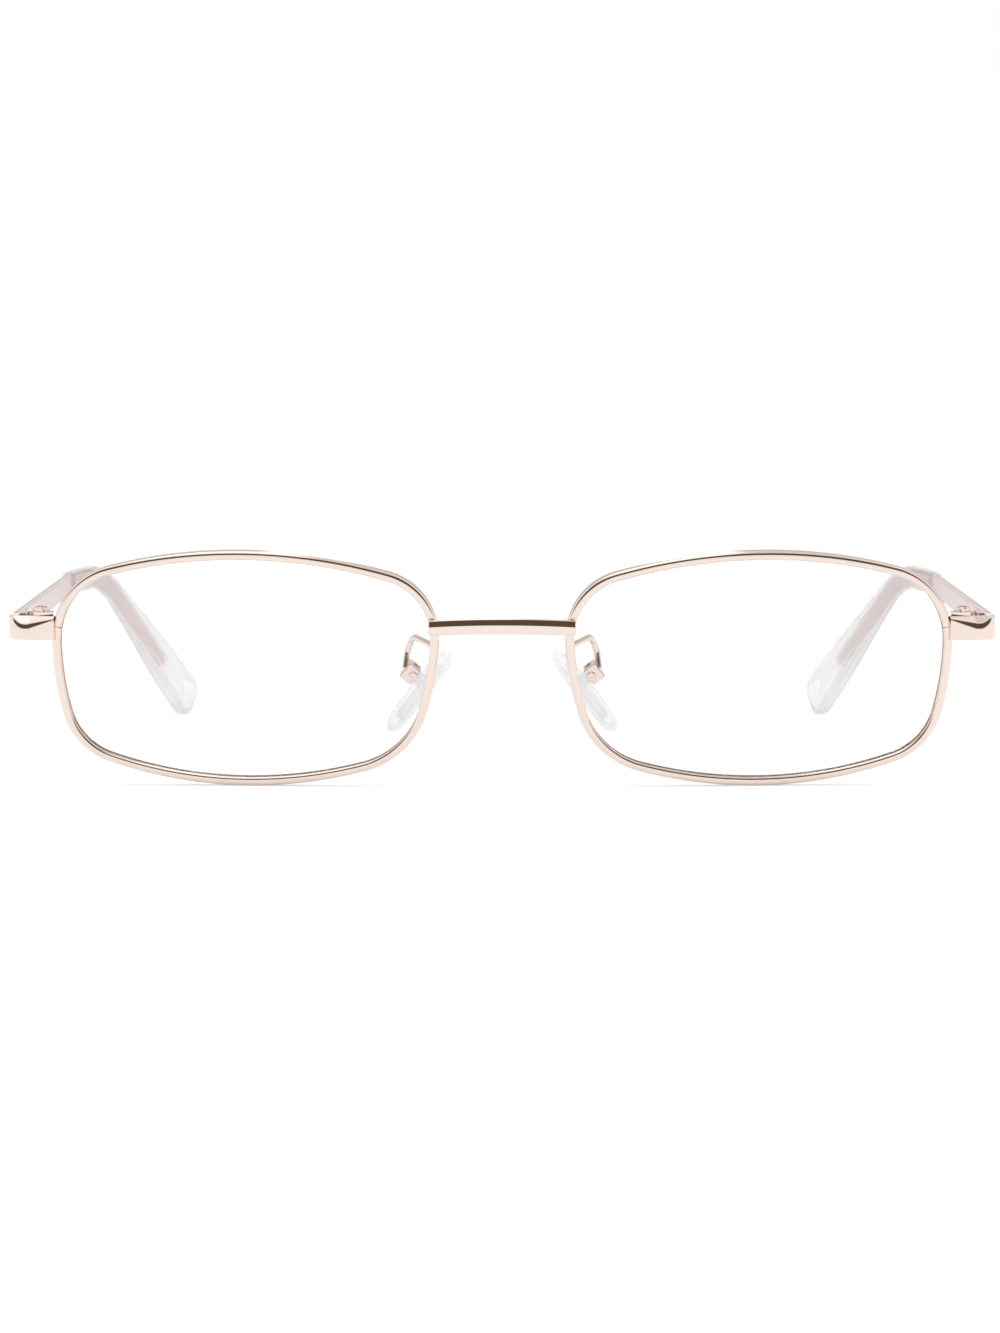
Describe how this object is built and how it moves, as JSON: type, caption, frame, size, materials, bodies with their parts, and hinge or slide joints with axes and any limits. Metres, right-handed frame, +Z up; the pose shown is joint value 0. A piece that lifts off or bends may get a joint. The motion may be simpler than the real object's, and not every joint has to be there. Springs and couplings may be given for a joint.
{
  "type": "rectangular eyeglasses",
  "caption": "Slim rectangular wire-rim eyeglasses in rose gold with clear lenses, clear nose pads, folding temples and clear temple tips.",
  "frame": {"origin": "on the table under the middle of the open glasses, midway between the bridge and the ends of the tips", "axes": "+Z up, -Y towards the viewer who faces the front, +X to that viewer's right; left and right are as the viewer sees them"},
  "size_m": [0.1416, 0.1369, 0.0325],
  "materials": {
    "rim_gold": "polished rose-gold plating",
    "screw_gold": "plated screw",
    "temple_rose": "satin pale rose plating",
    "lens_clear": "clear coated lens resin",
    "tip_clear": "clear soft plastic",
    "pad_clear": "clear silicone",
    "core_clear": "clear hard plastic"
  },
  "bodies": {
    "front": {"bridge": "rim_gold", "rim_left": "rim_gold", "lens_left": "lens_clear", "endpiece_left": "rim_gold", "rim_lock_upper_left": "rim_gold", "rim_lock_lower_left": "rim_gold", "rim_lock_screw_left": "screw_gold", "hinge_front_left": "rim_gold", "hinge_screw_left": "screw_gold", "pad_arm_left": "rim_gold", "pad_box_left": "rim_gold", "pad_screw_left": "screw_gold", "rim_right": "rim_gold", "lens_right": "lens_clear", "endpiece_right": "rim_gold", "rim_lock_upper_right": "rim_gold", "rim_lock_lower_right": "rim_gold", "rim_lock_screw_right": "screw_gold", "hinge_front_right": "rim_gold", "hinge_screw_right": "screw_gold", "pad_arm_right": "rim_gold", "pad_box_right": "rim_gold", "pad_screw_right": "screw_gold"},
    "temple_left": {"temple_left": "temple_rose", "hinge_rear_left": "rim_gold", "temple_tip_left": "tip_clear"},
    "temple_right": {"temple_right": "temple_rose", "hinge_rear_right": "rim_gold", "temple_tip_right": "tip_clear"},
    "pad_left": {"nose_pad_left": "pad_clear", "pad_core_left": "core_clear"},
    "pad_right": {"nose_pad_right": "pad_clear", "pad_core_right": "core_clear"}
  },
  "joints": [
    {"name": "temple_right_fold", "type": "hinge", "parent": "front", "child": "temple_right", "pos_m": [0.0654, -0.05554, 0.02189], "axis": [0, -0.0389, 0.9992], "range_deg": [0, 86]},
    {"name": "temple_left_fold", "type": "hinge", "parent": "front", "child": "temple_left", "pos_m": [-0.0654, -0.05554, 0.02189], "axis": [0, 0.0389, -0.9992], "range_deg": [0, 78]},
    {"name": "nose_pad_right_rock", "type": "hinge", "parent": "front", "child": "pad_right", "pos_m": [0.0123, -0.0579, 0.01508], "axis": [0, 0.9877, 0.1564], "range_deg": [-12, 12]},
    {"name": "nose_pad_left_rock", "type": "hinge", "parent": "front", "child": "pad_left", "pos_m": [-0.0123, -0.0579, 0.01508], "axis": [0, -0.9877, -0.1564], "range_deg": [-12, 12]}
  ]
}
